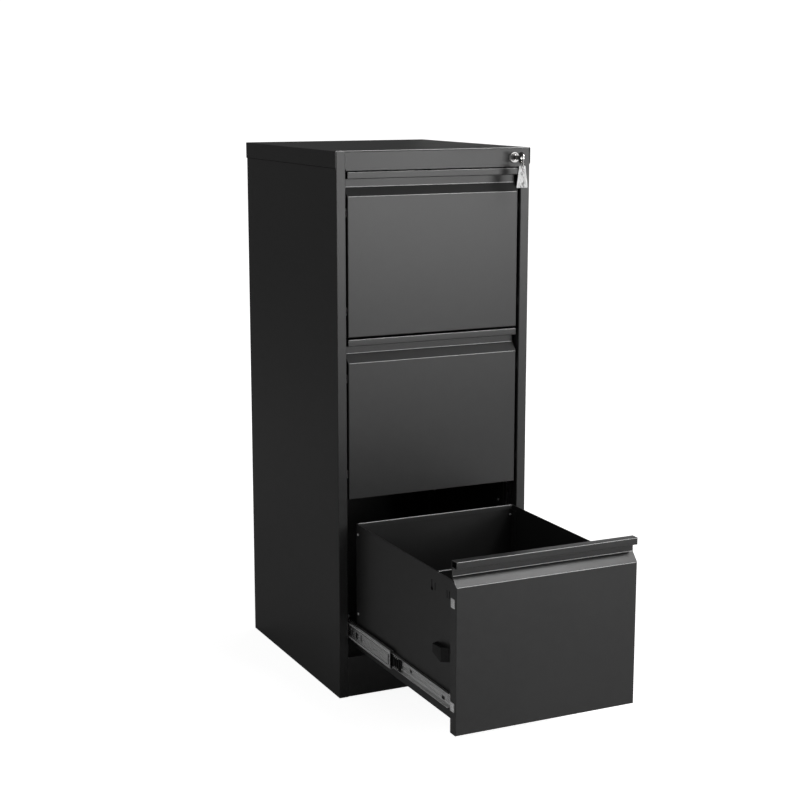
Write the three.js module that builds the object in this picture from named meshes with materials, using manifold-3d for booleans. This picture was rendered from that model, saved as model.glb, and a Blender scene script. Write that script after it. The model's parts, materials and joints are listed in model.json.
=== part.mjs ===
// Three-drawer vertical filing cabinet in folded, powder-coated steel sheet, its bottom drawer pulled out.
// Millimetres, +Z up. The front faces -Y and +X is to the right seen from the front.
// The origin is the middle of the cabinet's footprint, on the underside of its base tray.

import * as THREE from 'three';
import { mergeVertices } from 'three/addons/utils/BufferGeometryUtils.js';
import Module from 'manifold-3d';

const wasm = await Module();
wasm.setup();

// Cabinet
const WIDTH = 400;
const DEPTH = 460;
const HEIGHT = 1030;
const SHEET = 1;
const GAP = 0.3;
const STILE = 20;
const STILE_RETURN = 20;
const TOP_RAIL = 34;
const SKIRT = 30;
const KICK = 79;
const RAIL_FLANGE = 20;
const BACK_FLANGE = 15;
const UPSTAND_SETBACK = 4;
const RIB_HALF_WIDTH = 120;
const RIB_HEIGHTS = [120, 940];
const RIB_CORNER = 12;

// Drawer fronts
const FRONT_WIDTH = 351;
const FRONT_HEIGHT = 301;
const FRONT_PITCH = 305;
const LOWEST_FRONT = 81;
const FRONT_SETBACK = 2.5;
const FACE_HEIGHT = 257;
const SLANT_HEIGHT = 16.5;
const RECESS = 15;
const LIP_HEIGHT = 12.6;
const LIP_DEPTH = 18;
const LIP_HEM = 6;
const FRONT_RETURN = 20;
const RETURN_TOP = 263;
const RETURN_CORNER = 8;
const FRONT_CORNER = 1.6;

// Drawer boxes, measured from the front's lower edge and back from its face
const BOX_WIDTH = 334;
const BOX_BOTTOM = 17.5;
const BOX_TOP = 261;
const BOX_DEPTH = 424;
const BOX_CORNER = 14;
const HEM = 8;
const HEM_CLEARANCE = 0.2;
const HEM_BEND = 0.6;
const HOOK_SLITS = [95, 50, 42];
const HOOK_SLIT_WIDTH = 2.4;
const HOOK_SLIT_HEIGHT = 14;
const KEYHOLE_DEPTH = 107;
const BACK_EAR = 18;
const BACK_HEM = 2;
const FILE_BAR_DEPTH = 88;
const FILE_BAR_HEIGHT = 26;
const FILE_BAR_FLANGE = 10;
const FILE_BAR_HOOK = 5;
const BLOCK_OUTLINE = [[40, 115], [53, 115], [90, 126], [90, 137], [40, 141]];
const BLOCK_CORNERS = [1.5, 3, 2, 2, 1.5];
const BLOCK_WIDTH = 11.5;
const TRAVEL = 436;

// Ball-bearing slides, measured out from the drawer's side and up from their centre line
const SLIDE_CENTRE = 51;
const SLIDE_SHEET = 1.2;
const SLIDE_LENGTH = 400;
const OUTER_SECTION = [[2, -18.6], [2, -21.9], [11.9, -21.9]];
const MIDDLE_SECTION = [[3.4, -14.4], [3.4, -17], [9.6, -17]];
const INNER_SECTION = [[6.8, -12.6], [0.9, -12.6]];
const MIDDLE_OPENINGS = [[123.5, 128.5], [142, 152], [163.5, 168.5]];
const MIDDLE_HOLE = [350, 359];
const MIDDLE_STOP = 6.5;
const INNER_WINDOW = [[21, 33], [1, 10]];
const INNER_HOLES = [150, 300];
const OUTER_START = 38;
const MIDDLE_START = 39;
const MIDDLE_LENGTH = 385;
const INNER_START = 33;
const INNER_LENGTH = 388;

// Posts that carry the slides
const POST_OUT = 12.8;
const POST_DEPTH = 40;
const FRONT_POST = 53;
const REAR_POST = 385;

// Lock
const LOCK_X = 165;
const LOCK_Z = 1012;
const HOUSING_RADIUS = 9;
const CAM_OFFSET = 6.01;
const LOCK_BAR_X = 184;
const LOCK_BAR_WIDTH = 12;
const LOCK_BAR_Y = [46, 49];
const CATCH_HEIGHT = 117;
const CATCH_SIZE = 10;
const HOOK_HEIGHT = 129.5;
const BOW_CENTRE = 27.5;
const KEY_HOLE = 32;
const KEY_HOLE_RADIUS = 4;
const RING_RADIUS = 8.1;
const RING_SLACK = 2.5;
const RING_WIRE = 0.7;
const SLEEVE_EYE = 3;
const SLEEVE_DROP = 2;
const SLEEVE_OUTLINE = [[-6.5, 4.8], [6.5, 4.8], [12, -36.5], [-12, -36.5]];
const SLEEVE_CORNERS = [4, 4, 2, 2];
const GUIDE_HEIGHTS = { upper: 900, lower: 240 };
const GUIDE_CLEARANCE = 0.4;

// Bends
const BEND = 1.1;
const BEND_STEPS = 3;
const CORNER_STEPS = 4;
const ROUND = 24;

const FRONT = -DEPTH / 2;
const REAR = DEPTH / 2 - SHEET - GAP;
const SIDE = WIDTH / 2 - SHEET - GAP;
const OPENING = WIDTH / 2 - STILE;
const CARCASS_TOP = HEIGHT - SHEET - GAP;

const MATERIALS = {
  paint: new THREE.MeshStandardMaterial({ color: 0x2b2b2c, roughness: 0.5, metalness: 0.1 }),
  zinc: new THREE.MeshStandardMaterial({ color: 0xb4b6b8, roughness: 0.35, metalness: 0.9 }),
  chrome: new THREE.MeshStandardMaterial({ color: 0xd8d9dc, roughness: 0.15, metalness: 1 }),
  black: new THREE.MeshStandardMaterial({ color: 0x141414, roughness: 0.6, metalness: 0 }),
  sleeve: new THREE.MeshStandardMaterial({ color: 0xdcdde0, roughness: 0.25, metalness: 0 }),
};

const cabinet = new THREE.Group();

// Solids

function solid(geometry) {
  const bare = geometry.clone();
  bare.deleteAttribute('normal');
  bare.deleteAttribute('uv');
  const merged = mergeVertices(bare, 1e-4);
  return new wasm.Manifold(new wasm.Mesh({
    numProp: 3,
    vertProperties: new Float32Array(merged.attributes.position.array),
    triVerts: new Uint32Array(merged.index.array),
  }));
}

function surface(manifold) {
  const mesh = manifold.getMesh();
  const geometry = new THREE.BufferGeometry();
  geometry.setAttribute('position', new THREE.BufferAttribute(new Float32Array(mesh.vertProperties), 3));
  geometry.setIndex(new THREE.BufferAttribute(new Uint32Array(mesh.triVerts), 1));
  geometry.computeVertexNormals();
  return geometry;
}

function joined(parts) {
  return parts.reduce((whole, part) => whole.add(part));
}

function block([x0, x1], [y0, y1], [z0, z1]) {
  const geometry = new THREE.BoxGeometry(x1 - x0, y1 - y0, z1 - z0);
  return solid(geometry.translate((x0 + x1) / 2, (y0 + y1) / 2, (z0 + z1) / 2));
}

function extruded(outline, length) {
  const shape = new THREE.Shape(outline);
  return new THREE.ExtrudeGeometry(shape, { depth: length, bevelEnabled: false, steps: 1 });
}

// An outline in Y and Z, extruded along X.
function prismX(outline, [x0, x1]) {
  const geometry = extruded(outline, x1 - x0);
  const turn = new THREE.Matrix4().makeBasis(
    new THREE.Vector3(0, 1, 0),
    new THREE.Vector3(0, 0, 1),
    new THREE.Vector3(1, 0, 0),
  );
  return solid(geometry.applyMatrix4(turn).translate(x0, 0, 0));
}

// An outline in X and Z, extruded along Y.
function prismY(outline, [y0, y1]) {
  const geometry = extruded(outline, y1 - y0);
  const turn = new THREE.Matrix4().makeBasis(
    new THREE.Vector3(1, 0, 0),
    new THREE.Vector3(0, 0, 1),
    new THREE.Vector3(0, -1, 0),
  );
  return solid(geometry.applyMatrix4(turn).translate(0, y1, 0));
}

// An outline in X and Y, extruded along Z.
function prismZ(outline, [z0, z1]) {
  return solid(extruded(outline, z1 - z0).translate(0, 0, z0));
}

function rodY(radius, [y0, y1], x = 0, z = 0) {
  const geometry = new THREE.CylinderGeometry(radius, radius, y1 - y0, ROUND);
  return solid(geometry.translate(x, (y0 + y1) / 2, z));
}

// Outlines

function point([u, v]) {
  return new THREE.Vector2(u, v);
}

// A closed outline with each corner rounded by its own radius.
function rounded(corners, radii) {
  const outline = [];
  corners.forEach((corner, i) => {
    const at = point(corner);
    const before = point(corners[(i + corners.length - 1) % corners.length]).sub(at).normalize();
    const after = point(corners[(i + 1) % corners.length]).sub(at).normalize();
    if (radii[i] === 0) {
      outline.push(at);
      return;
    }
    const half = Math.acos(before.dot(after)) / 2;
    const setback = radii[i] / Math.tan(half);
    const bisector = before.clone().add(after).normalize();
    const centre = at.clone().addScaledVector(bisector, radii[i] / Math.sin(half));
    const start = at.clone().addScaledVector(before, setback).sub(centre);
    const end = at.clone().addScaledVector(after, setback).sub(centre);
    const sweep = Math.atan2(start.cross(end), start.dot(end));
    for (let k = 0; k <= CORNER_STEPS; k += 1) {
      const spoke = start.clone().rotateAround(new THREE.Vector2(), (sweep * k) / CORNER_STEPS);
      outline.push(spoke.add(centre));
    }
  });
  return outline;
}

// The section of a sheet folded along a line of points on its middle surface.
function folded(points, thickness = SHEET, bend = BEND) {
  const path = [];
  const line = points.map(point);
  line.forEach((at, i) => {
    const before = i > 0 ? at.clone().sub(line[i - 1]).normalize() : null;
    const after = i < line.length - 1 ? line[i + 1].clone().sub(at).normalize() : null;
    if (before === null || after === null) {
      const along = before ?? after;
      path.push({ at, normal: new THREE.Vector2(-along.y, along.x) });
      return;
    }
    const turn = Math.atan2(before.cross(after), before.dot(after));
    const setback = bend * Math.tan(Math.abs(turn) / 2);
    const normal = new THREE.Vector2(-before.y, before.x).multiplyScalar(Math.sign(turn));
    const centre = at.clone().addScaledVector(before, -setback).addScaledVector(normal, bend);
    for (let k = 0; k <= BEND_STEPS; k += 1) {
      const spoke = normal.clone().rotateAround(new THREE.Vector2(), (turn * k) / BEND_STEPS);
      path.push({
        at: centre.clone().addScaledVector(spoke, -bend),
        normal: spoke.multiplyScalar(Math.sign(turn)),
      });
    }
  });
  const left = path.map(({ at, normal }) => at.clone().addScaledVector(normal, thickness / 2));
  const right = path.map(({ at, normal }) => at.clone().addScaledVector(normal, -thickness / 2));
  return [...left, ...right.reverse()];
}

// A round-ended slot between two centres.
function slot([u0, v0], [u1, v1], radius) {
  const along = Math.atan2(v1 - v0, u1 - u0);
  const outline = [];
  [[u1, v1, along - Math.PI / 2], [u0, v0, along + Math.PI / 2]].forEach(([u, v, from]) => {
    for (let k = 0; k <= 2 * CORNER_STEPS; k += 1) {
      const angle = from + (Math.PI * k) / (2 * CORNER_STEPS);
      outline.push(new THREE.Vector2(u + radius * Math.cos(angle), v + radius * Math.sin(angle)));
    }
  });
  return outline;
}

function add(name, manifold, material, group = cabinet) {
  const mesh = new THREE.Mesh(surface(manifold), MATERIALS[material]);
  mesh.name = name;
  group.add(mesh);
  return mesh;
}

// Carcass

// A side sheet, folded round the front corner into the stile and round the back corner into a flange.
function sidePanel(side) {
  const half = SHEET / 2;
  const section = folded([
    [side * (OPENING + half), FRONT + STILE_RETURN],
    [side * (OPENING + half), FRONT + half],
    [side * (SIDE - half), FRONT + half],
    [side * (SIDE - half), REAR - half],
    [side * (SIDE - BACK_FLANGE), REAR - half],
  ]);
  const flangeX = [side * (OPENING + SHEET + GAP), side * (SIDE - half)].sort((a, b) => a - b);
  const flangeY = [FRONT + STILE_RETURN + SHEET, REAR - half];
  return joined([
    prismZ(section, [0, CARCASS_TOP]),
    block(flangeX, flangeY, [0, SHEET]),
    block(flangeX, flangeY, [CARCASS_TOP - SHEET, CARCASS_TOP]),
  ]);
}

// A flat top with skirts at the sides and the back.
function topCap() {
  const shell = (inset, start) => {
    const x = WIDTH / 2 - inset;
    const y = DEPTH / 2 - inset;
    const top = HEIGHT - inset;
    const low = HEIGHT - SKIRT - (inset > 0 ? SHEET : 0);
    const bend = BEND + SHEET / 2 - inset;
    const across = rounded([[-x, low], [x, low], [x, top], [-x, top]], [0, 0, bend, bend]);
    const along = rounded([[start, low], [y, low], [y, top], [start, top]], [0, 0, bend, 0]);
    const plan = rounded([[-x, start], [x, start], [x, y], [-x, y]], [0, 0, bend, bend]);
    return prismY(across, [start, y])
      .intersect(prismX(along, [-x, x]))
      .intersect(prismZ(plan, [low, top]));
  };
  return shell(0, FRONT).subtract(shell(SHEET, FRONT - SHEET));
}

function topRail() {
  const half = SHEET / 2;
  const low = HEIGHT - TOP_RAIL + half;
  const high = CARCASS_TOP - half;
  const section = folded([
    [FRONT + RAIL_FLANGE, low],
    [FRONT + half, low],
    [FRONT + half, high],
    [FRONT + RAIL_FLANGE, high],
  ]);
  return prismX(section, [-OPENING + GAP, OPENING - GAP])
    .subtract(rodY(HOUSING_RADIUS + GAP, [FRONT - SHEET, FRONT + 2 * SHEET], LOCK_X, LOCK_Z));
}

// One sheet folded into the floor, the kick plate in front and an upstand behind.
function baseTray() {
  const half = SHEET / 2;
  const section = folded([
    [FRONT + RAIL_FLANGE, KICK - half],
    [FRONT + half, KICK - half],
    [FRONT + half, half],
    [REAR - UPSTAND_SETBACK, half],
    [REAR - UPSTAND_SETBACK, SKIRT],
  ]);
  return prismX(section, [-OPENING + GAP, OPENING - GAP]);
}

// The back lies inside the flanges of the two sides.
function backPanel() {
  const x = SIDE - SHEET - GAP;
  const y = REAR - SHEET - GAP;
  const rx = RIB_HALF_WIDTH;
  const [low, high] = RIB_HEIGHTS;
  const corners = [[-rx, low], [rx, low], [rx, high], [-rx, high]];
  const rib = rounded(corners, corners.map(() => RIB_CORNER));
  return block([-x, x], [y - SHEET, y], [SHEET + GAP, CARCASS_TOP - SHEET - GAP])
    .add(prismY(rib, [y - SHEET / 2, y + SHEET]));
}

// An upright channel, open towards the side panel.
function slidePost() {
  const half = SHEET / 2;
  const web = BOX_WIDTH / 2 + POST_OUT;
  const outer = SIDE - SHEET - GAP;
  const section = folded([
    [outer, half],
    [web + half, half],
    [web + half, POST_DEPTH - half],
    [outer, POST_DEPTH - half],
  ]);
  return prismZ(section, [SHEET + GAP, CARCASS_TOP - SHEET - GAP]);
}

// Slides: sections are in distance out from the drawer's side and height from the centre line

function slideSolid(points, length) {
  const section = folded(points, SLIDE_SHEET, BEND);
  return prismY(section, [0, length]);
}

function mirroredEnds(points) {
  const upper = points.map(([s, z]) => [s, -z]).reverse();
  return [...points, ...upper];
}

function outerMember() {
  return slideSolid(mirroredEnds(OUTER_SECTION), SLIDE_LENGTH);
}

// The web has a curved stop behind its front end and a row of screwdriver openings.
function middleMember() {
  const channel = slideSolid(mirroredEnds(MIDDLE_SECTION), MIDDLE_LENGTH);
  const web = [8.5, 11];
  const stop = prismX(slot([MIDDLE_STOP, -9], [MIDDLE_STOP, 9], 1.6), web);
  const openings = MIDDLE_OPENINGS.map((y) => block(web, y, [-6.5, 6.5]));
  const hole = prismX(slot([MIDDLE_HOLE[0], 0], [MIDDLE_HOLE[1], 0], 3), web);
  return channel.subtract(joined([stop, hole, ...openings]));
}

function innerMember() {
  const channel = slideSolid(mirroredEnds(INNER_SECTION), INNER_LENGTH);
  const web = [0, 2];
  const window = block(web, ...INNER_WINDOW);
  const holes = INNER_HOLES.map((y) => prismX(slot([y, 0], [y + 5, 0], 2.6), web));
  return channel.subtract(joined([window, ...holes]));
}

// Puts a right-hand piece in place, or turns it over for the left.
function placeSlide(name, manifold, material, side, y, z, group) {
  const mesh = add(name, manifold, material, group);
  mesh.position.set((side * BOX_WIDTH) / 2, y, z);
  mesh.rotation.y = side < 0 ? Math.PI : 0;
}

// Drawers: built from the face's lower edge, with Y running back from the face

// One sheet folded up the face, in along the slant, up the back of the finger recess, and round the lip.
function drawerFront() {
  const half = SHEET / 2;
  const x = FRONT_WIDTH / 2;
  const recess = RECESS + half;
  const lipLow = FRONT_HEIGHT - LIP_HEIGHT + half;
  const lipTop = FRONT_HEIGHT - half;
  const section = folded([
    [FRONT_RETURN, half],
    [half, half],
    [half, FACE_HEIGHT],
    [recess, FACE_HEIGHT + SLANT_HEIGHT],
    [recess, lipLow],
    [half, lipLow],
    [half, lipTop],
    [LIP_DEPTH - half, lipTop],
    [LIP_DEPTH - half, lipLow - LIP_HEM],
  ]);
  const slantAtTop = ((RETURN_TOP - FACE_HEIGHT) / SLANT_HEIGHT) * RECESS;
  const cheek = rounded(
    [
      [0, 0],
      [FRONT_RETURN, 0],
      [FRONT_RETURN, RETURN_TOP],
      [slantAtTop + 0.2, RETURN_TOP],
      [0.2, FACE_HEIGHT],
      [0.2, FRONT_CORNER],
    ],
    [0, 0, RETURN_CORNER, 0, 0, 0],
  );
  const plan = rounded(
    [[-x, 0], [x, 0], [x, FRONT_RETURN + SHEET], [-x, FRONT_RETURN + SHEET]],
    [FRONT_CORNER, FRONT_CORNER, 0, 0],
  );
  return joined([
    prismX(section, [-x, x]),
    prismX(cheek, [-x, -x + SHEET]),
    prismX(cheek, [x - SHEET, x]),
  ]).intersect(prismZ(plan, [0, FRONT_HEIGHT]));
}

// Slots in both sides of the box, where the file bar can hook in.
function boxSlots() {
  const across = [-BOX_WIDTH, BOX_WIDTH];
  const high = BOX_TOP - 20;
  const top = high - 2;
  const half = HOOK_SLIT_WIDTH / 2;
  const slits = HOOK_SLITS.map((y) => block(across, [y - half, y + half], [top - HOOK_SLIT_HEIGHT, top]));
  const eye = [KEYHOLE_DEPTH, high - 15];
  const neck = [KEYHOLE_DEPTH, high - 14];
  return joined([
    prismX(slot(eye, [KEYHOLE_DEPTH, high - 14.9], 4), across),
    prismX(slot(neck, [KEYHOLE_DEPTH, high], 1.8), across),
    ...slits,
  ]);
}

// The two sides and the bottom in one folded sheet, hemmed along the top.
function drawerBody() {
  const half = SHEET / 2;
  const x = BOX_WIDTH / 2 - half;
  const hemX = x - SHEET - HEM_CLEARANCE;
  const top = BOX_TOP - half;
  const section = folded(
    [
      [-hemX, BOX_TOP - HEM],
      [-hemX, top],
      [-x, top],
      [-x, BOX_BOTTOM + half],
      [x, BOX_BOTTOM + half],
      [x, top],
      [hemX, top],
      [hemX, BOX_TOP - HEM],
    ],
    SHEET,
    HEM_BEND,
  );
  const start = SHEET + 2 * GAP;
  const wide = [-BOX_WIDTH, BOX_WIDTH];
  const outline = rounded(
    [[start, 0], [BOX_DEPTH, 0], [BOX_DEPTH, BOX_TOP], [start, BOX_TOP]],
    [0, 0, 0, BOX_CORNER],
  );
  return prismY(section, [start, BOX_DEPTH])
    .intersect(prismX(outline, wide))
    .subtract(boxSlots());
}

function drawerBack() {
  const half = SHEET / 2;
  const x = BOX_WIDTH / 2 - SHEET - GAP;
  const inner = x - SHEET - 2 * HEM_CLEARANCE;
  const y = BOX_DEPTH - half;
  const low = BOX_BOTTOM + SHEET + GAP;
  const top = BOX_TOP - half;
  const section = folded(
    [
      [y - BACK_EAR, low + half],
      [y, low + half],
      [y, top],
      [y - BACK_HEM, top],
      [y - BACK_HEM, BOX_TOP - HEM],
    ],
    SHEET,
    HEM_BEND,
  );
  const ear = (side) => {
    const reach = [side * (x - SHEET), side * x].sort((a, b) => a - b);
    return block(reach, [y - BACK_EAR, y + half], [low, BOX_TOP - HEM - BACK_HEM]);
  };
  const plate = block([-x, x], [y - half, y + half], [low, BOX_TOP - HEM - BACK_HEM]);
  return joined([prismX(section, [-inner, inner]), plate, ear(-1), ear(1)]);
}

// A removable cross bar that hanging folders can hang from.
function fileBar() {
  const half = SHEET / 2;
  const x = BOX_WIDTH / 2 - 2 * SHEET - 2 * GAP - HEM_CLEARANCE;
  const section = folded([
    [FILE_BAR_DEPTH + FILE_BAR_FLANGE, BOX_TOP - FILE_BAR_HEIGHT],
    [FILE_BAR_DEPTH + half, BOX_TOP - FILE_BAR_HEIGHT],
    [FILE_BAR_DEPTH + half, BOX_TOP - half],
    [FILE_BAR_DEPTH + FILE_BAR_HOOK, BOX_TOP - half],
  ]);
  return prismX(section, [-x, x]);
}

// A moulded block on the left side, tapering towards the back, with slanted ends.
function interlockBlock() {
  const base = -BOX_WIDTH / 2 - GAP;
  const outer = base - BLOCK_WIDTH;
  const outline = rounded(BLOCK_OUTLINE, BLOCK_CORNERS);
  const plan = [[base, 42], [outer, 50], [outer, 81], [base, 89]].map(point);
  return prismX(outline, [outer - 1, base]).intersect(prismZ(plan, [100, 150]));
}

// An angle bracket on the right side, which the lock bar's hook drops in front of.
function lockCatch() {
  const base = BOX_WIDTH / 2 + GAP;
  const plate = block([base, base + 1.5], [50, 74], [CATCH_HEIGHT - 6, CATCH_HEIGHT + CATCH_SIZE]);
  const tongue = block([base, base + 10.5], [50, 53], [CATCH_HEIGHT, CATCH_HEIGHT + CATCH_SIZE]);
  return plate.add(tongue);
}

function drawer(name, level, pulledOut) {
  const group = new THREE.Group();
  group.position.set(0, FRONT + FRONT_SETBACK - pulledOut, LOWEST_FRONT + level * FRONT_PITCH);
  add(`${name}_front`, drawerFront(), 'paint', group);
  add(`${name}_body`, drawerBody(), 'paint', group);
  add(`${name}_back`, drawerBack(), 'paint', group);
  add(`${name}_file_bar`, fileBar(), 'paint', group);
  add(`${name}_interlock_block`, interlockBlock(), 'black', group);
  add(`${name}_lock_catch`, lockCatch(), 'zinc', group);
  for (const [side, label] of [[-1, 'left'], [1, 'right']]) {
    placeSlide(`${name}_slide_inner_${label}`, innerMember(), 'zinc', side, INNER_START, SLIDE_CENTRE, group);
  }
  cabinet.add(group);
}

// The parts of the two slides that don't move with the drawer itself.
function slides(name, level, pulledOut) {
  const z = LOWEST_FRONT + level * FRONT_PITCH + SLIDE_CENTRE;
  for (const [side, label] of [[-1, 'left'], [1, 'right']]) {
    const outerY = FRONT + OUTER_START;
    const middleY = FRONT + MIDDLE_START - pulledOut / 2;
    placeSlide(`${name}_slide_outer_${label}`, outerMember(), 'zinc', side, outerY, z, cabinet);
    placeSlide(`${name}_slide_middle_${label}`, middleMember(), 'zinc', side, middleY, z, cabinet);
  }
}

// Lock: built round the cylinder's axis, with Y running back from the cabinet's front

function lockHousing() {
  const bore = 6.4;
  const profile = [
    [bore, -1.8],
    [8.2, -2.5],
    [9.6, -2.5],
    [11, -1.2],
    [11, -GAP],
    [HOUSING_RADIUS, -GAP],
    [HOUSING_RADIUS, 25],
    [bore, 25],
    [bore, -1.8],
  ];
  return solid(new THREE.LatheGeometry(profile.map(point), ROUND));
}

function lockCore() {
  const plug = joined([
    rodY(6, [-2.2, 26]),
    rodY(4, [25, 41]),
    prismY(slot([0, 0], [CAM_OFFSET, CAM_OFFSET], 4.5), [40, 42.5]),
    rodY(2, [42, 51.5], CAM_OFFSET, CAM_OFFSET),
  ]);
  return plug.subtract(block([-1.5, 1.5], [-3, 21], [-4.2, 4.2]));
}

function key() {
  const thickness = [-1.1, 1.1];
  const bow = prismX(slot([-BOW_CENTRE, -1.5], [-BOW_CENTRE, 1.5], 9.5), thickness);
  const neck = block(thickness, [-BOW_CENTRE, -3.2], [-4, 4]);
  const shoulder = block(thickness, [-6, -3.2], [-5, 5]);
  const blade = block(thickness, [-4, 20], [-3.8, 3.8]);
  const cuts = [4, 9, 14].map((y) => prismX([[y, -4], [y + 1.5, -2.4], [y + 3, -4]].map(point), [-2, 2]));
  const eye = prismX(slot([-KEY_HOLE, 0], [-KEY_HOLE, 0.01], KEY_HOLE_RADIUS), [-2, 2]);
  return joined([bow, neck, shoulder, blade]).subtract(joined([eye, ...cuts]));
}

function keyRing() {
  const wire = new THREE.TorusGeometry(RING_RADIUS, RING_WIRE, 6, 30);
  return solid(wire.rotateX(Math.PI / 2).rotateZ(Math.PI / 4));
}

// The spare key's soft sleeve, which hangs from the ring, built down from the middle of its eye.
function spareKeySleeve() {
  const outline = rounded(SLEEVE_OUTLINE, SLEEVE_CORNERS);
  return prismY(outline, [-0.9, 0.9]).subtract(rodY(SLEEVE_EYE, [-2, 2]));
}

// The flat bar behind the right-hand stile.
function lockBar() {
  const low = LOWEST_FRONT + HOOK_HEIGHT - 8;
  return block([LOCK_BAR_X, LOCK_BAR_X + LOCK_BAR_WIDTH], LOCK_BAR_Y, [low, LOCK_Z + CAM_OFFSET + 6]);
}

// The plate at the top of the bar, with the slot that the cam's pin moves in.
function lockBarHead() {
  const z = LOCK_Z + CAM_OFFSET;
  const plate = block([LOCK_X + 1, LOCK_BAR_X - GAP], LOCK_BAR_Y, [z - 8, z + 6]);
  const pinSlot = slot([LOCK_X + 6, z], [LOCK_X + 8.5, z], 2.6);
  return plate.subtract(prismY(pinSlot, [LOCK_BAR_Y[0] - 1, LOCK_BAR_Y[1] + 1]));
}

// The hook that drops in front of one drawer's catch.
function lockBarHook(level) {
  const z = LOWEST_FRONT + level * FRONT_PITCH + HOOK_HEIGHT;
  return block([171, LOCK_BAR_X - GAP], LOCK_BAR_Y, [z, z + CATCH_SIZE]);
}

function lockBarGuide() {
  const low = LOCK_BAR_X - GUIDE_CLEARANCE;
  const high = LOCK_BAR_X + LOCK_BAR_WIDTH + GUIDE_CLEARANCE;
  const y = [LOCK_BAR_Y[0] - GUIDE_CLEARANCE, LOCK_BAR_Y[1] + GUIDE_CLEARANCE];
  const sleeve = block([low - 1.3, high + 1], [43, FRONT_POST - GAP], [0, 12]);
  return sleeve.subtract(block([low, high], y, [-1, 13]));
}

function lockSet() {
  const front = new THREE.Group();
  front.position.y = FRONT;
  const cylinder = new THREE.Group();
  cylinder.position.set(LOCK_X, 0, LOCK_Z);
  front.add(cylinder);
  add('lock_housing', lockHousing(), 'chrome', cylinder);
  add('lock_core', lockCore(), 'chrome', cylinder);
  add('key', key(), 'chrome', cylinder);
  const ringCentre = RING_SLACK + RING_RADIUS;
  const sleeveEye = ringCentre + RING_RADIUS + SLEEVE_DROP;
  add('key_ring', keyRing(), 'chrome', cylinder).position.set(0, -KEY_HOLE, -ringCentre);
  add('spare_key_sleeve', spareKeySleeve(), 'sleeve', cylinder).position.set(0, -KEY_HOLE, -sleeveEye);
  add('lock_bar', lockBar(), 'zinc', front);
  add('lock_bar_head', lockBarHead(), 'zinc', front);
  ['bottom', 'middle', 'top'].forEach((label, level) => {
    add(`lock_bar_hook_${label}`, lockBarHook(level), 'zinc', front);
  });
  Object.entries(GUIDE_HEIGHTS).forEach(([label, z]) => {
    add(`lock_bar_guide_${label}`, lockBarGuide(), 'zinc', front).position.z = z;
  });
  cabinet.add(front);
}

add('side_panel_left', sidePanel(-1), 'paint');
add('side_panel_right', sidePanel(1), 'paint');
add('back_panel', backPanel(), 'paint');
add('top_cap', topCap(), 'paint');
add('top_rail', topRail(), 'paint');
add('base_tray', baseTray(), 'paint');

for (const [start, label] of [[FRONT_POST, 'front'], [REAR_POST, 'rear']]) {
  const right = add(`slide_post_${label}_right`, slidePost(), 'paint');
  right.position.y = FRONT + start;
  const left = add(`slide_post_${label}_left`, slidePost(), 'paint');
  left.rotation.z = Math.PI;
  left.position.y = FRONT + start + POST_DEPTH;
}

const DRAWERS = [['bottom_drawer', 0, TRAVEL], ['middle_drawer', 1, 0], ['top_drawer', 2, 0]];
for (const [name, level, pulledOut] of DRAWERS) {
  drawer(name, level, pulledOut);
  slides(name, level, pulledOut);
}

lockSet();

export default cabinet;
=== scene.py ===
"""Three-drawer steel filing cabinet in black powder coat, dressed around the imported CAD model."""
import json
import math

import bmesh
import bpy
from mathutils import Matrix, Vector


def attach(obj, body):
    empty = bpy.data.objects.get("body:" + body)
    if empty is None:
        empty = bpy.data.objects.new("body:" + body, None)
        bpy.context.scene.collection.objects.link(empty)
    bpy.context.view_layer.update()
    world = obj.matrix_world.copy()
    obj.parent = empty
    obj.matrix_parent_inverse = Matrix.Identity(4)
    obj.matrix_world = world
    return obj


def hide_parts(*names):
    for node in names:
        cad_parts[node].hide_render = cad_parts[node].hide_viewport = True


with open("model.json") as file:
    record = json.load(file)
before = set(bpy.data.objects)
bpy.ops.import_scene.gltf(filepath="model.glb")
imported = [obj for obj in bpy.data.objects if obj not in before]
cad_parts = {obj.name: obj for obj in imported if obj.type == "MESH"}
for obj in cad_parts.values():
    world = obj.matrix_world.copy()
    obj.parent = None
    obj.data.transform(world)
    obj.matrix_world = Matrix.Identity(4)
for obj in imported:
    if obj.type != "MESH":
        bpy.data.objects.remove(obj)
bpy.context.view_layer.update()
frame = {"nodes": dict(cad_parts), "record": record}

NODES = frame["nodes"]
SLOT_OF = {entry["node"]: entry["material_slot"] for entry in frame["record"]["subparts"]}
DRAWERS = ("bottom_drawer", "middle_drawer", "top_drawer")
SIDES = (("left", -1), ("right", 1))

# The carcass: its front and back faces, its height, and half the opening between the front stiles
CARCASS_FRONT = -0.23
CARCASS_BACK = 0.23
HEIGHT = 1.03
STILE_INNER = 0.18

# The drawers: half the box's width, the face when shut, the lowest front's foot, and the travel
BOX_SIDE = 0.167
CLOSED_FACE = -0.2275
LOWEST_FRONT = 0.081
FRONT_PITCH = 0.305
TRAVEL = 0.436

# The slides: their centre above the front's foot, the inner member's web, the shut middle member's front end
SLIDE_CENTRE = 0.051
INNER_WEB = 0.1685
CLOSED_MIDDLE = -0.191

# The spare key's sleeve: where its eye hangs, and how far it reaches above and below the eye
EYE_AT = Vector((0.165, -0.262, 0.9933))
SLEEVE_TOP = 0.0048
SLEEVE_FOOT = -0.0365

# Camera: a little above the cabinet, in front and to its left, looking down
EYE = Vector((-1.372, -2.969, 1.158))
YAW = math.radians(25.39)
PITCH = math.radians(11.02)
LENS = 74.4


# ---------------------------------------------------------------- node helpers

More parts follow.
